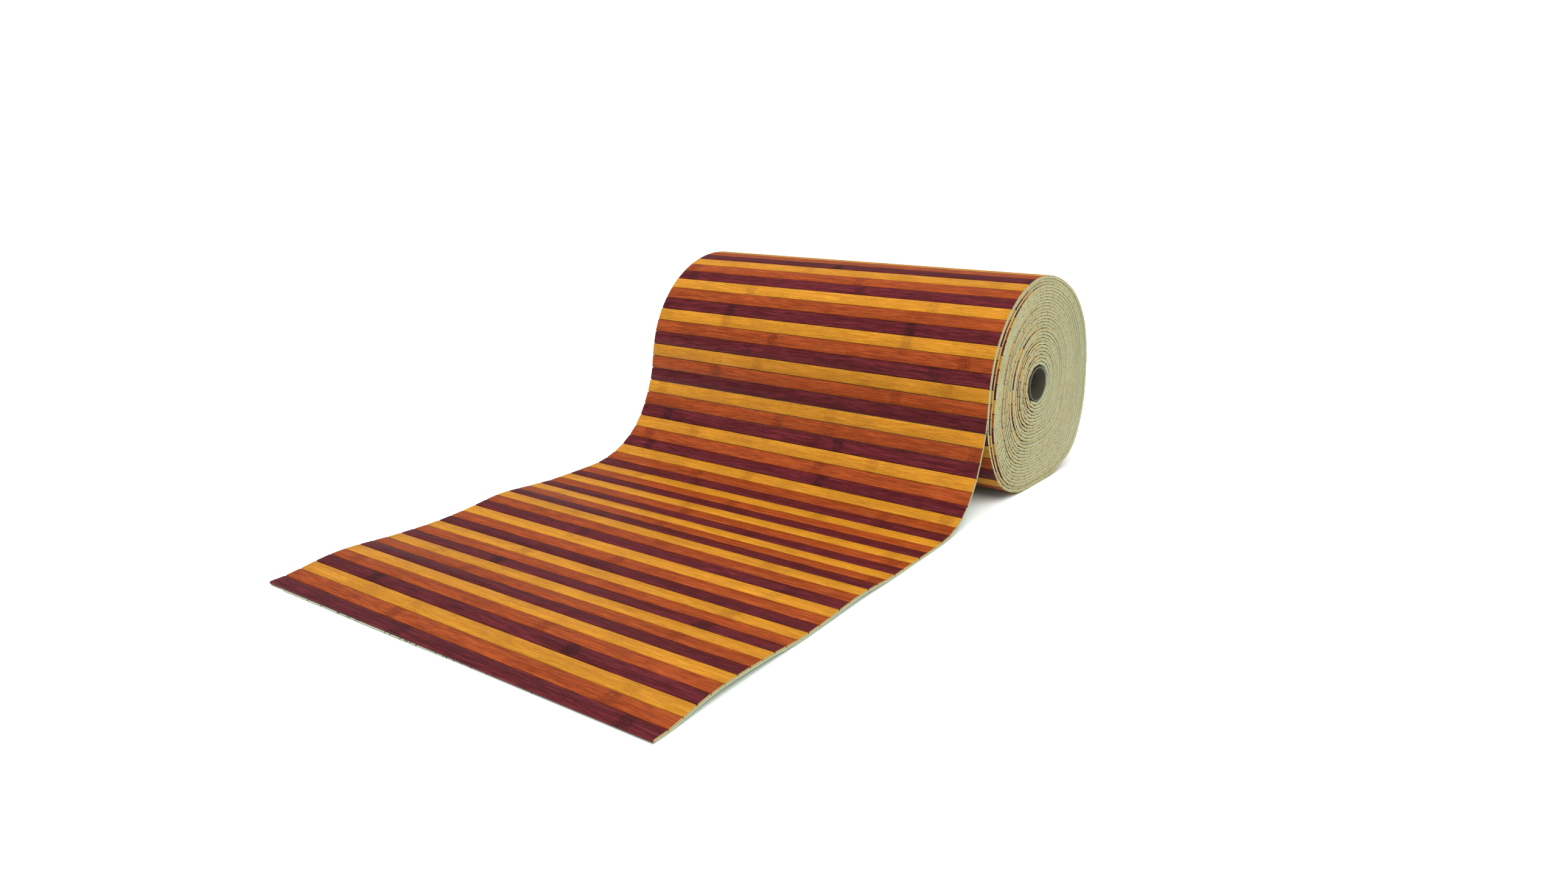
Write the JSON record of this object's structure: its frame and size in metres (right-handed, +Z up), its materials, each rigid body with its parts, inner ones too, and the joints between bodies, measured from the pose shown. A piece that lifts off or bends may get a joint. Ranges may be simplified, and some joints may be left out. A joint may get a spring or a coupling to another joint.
{
  "type": "rolled bamboo runner rug",
  "caption": "Runner rug of striped bamboo slats on a thin backing, wound on a cardboard tube into a roll on its side, with one loose end running out flat over the floor in shallow waves",
  "frame": {"origin": "on the floor, under the middle of the whole box of roll and loose end", "axes": "+X along the slats, +Y from the free edge towards the roll, +Z up"},
  "size_m": [0.52, 0.8238, 0.2556],
  "materials": {
    "bamboo_slats": "satin lacquer over stained bamboo in amber, orange brown and maroon",
    "backing": "thin felted backing, matt",
    "cardboard": "raw grey brown cardboard"
  },
  "bodies": {
    "root": {"bamboo_sheet": "bamboo_slats", "core_tube": "cardboard"}
  },
  "joints": []
}
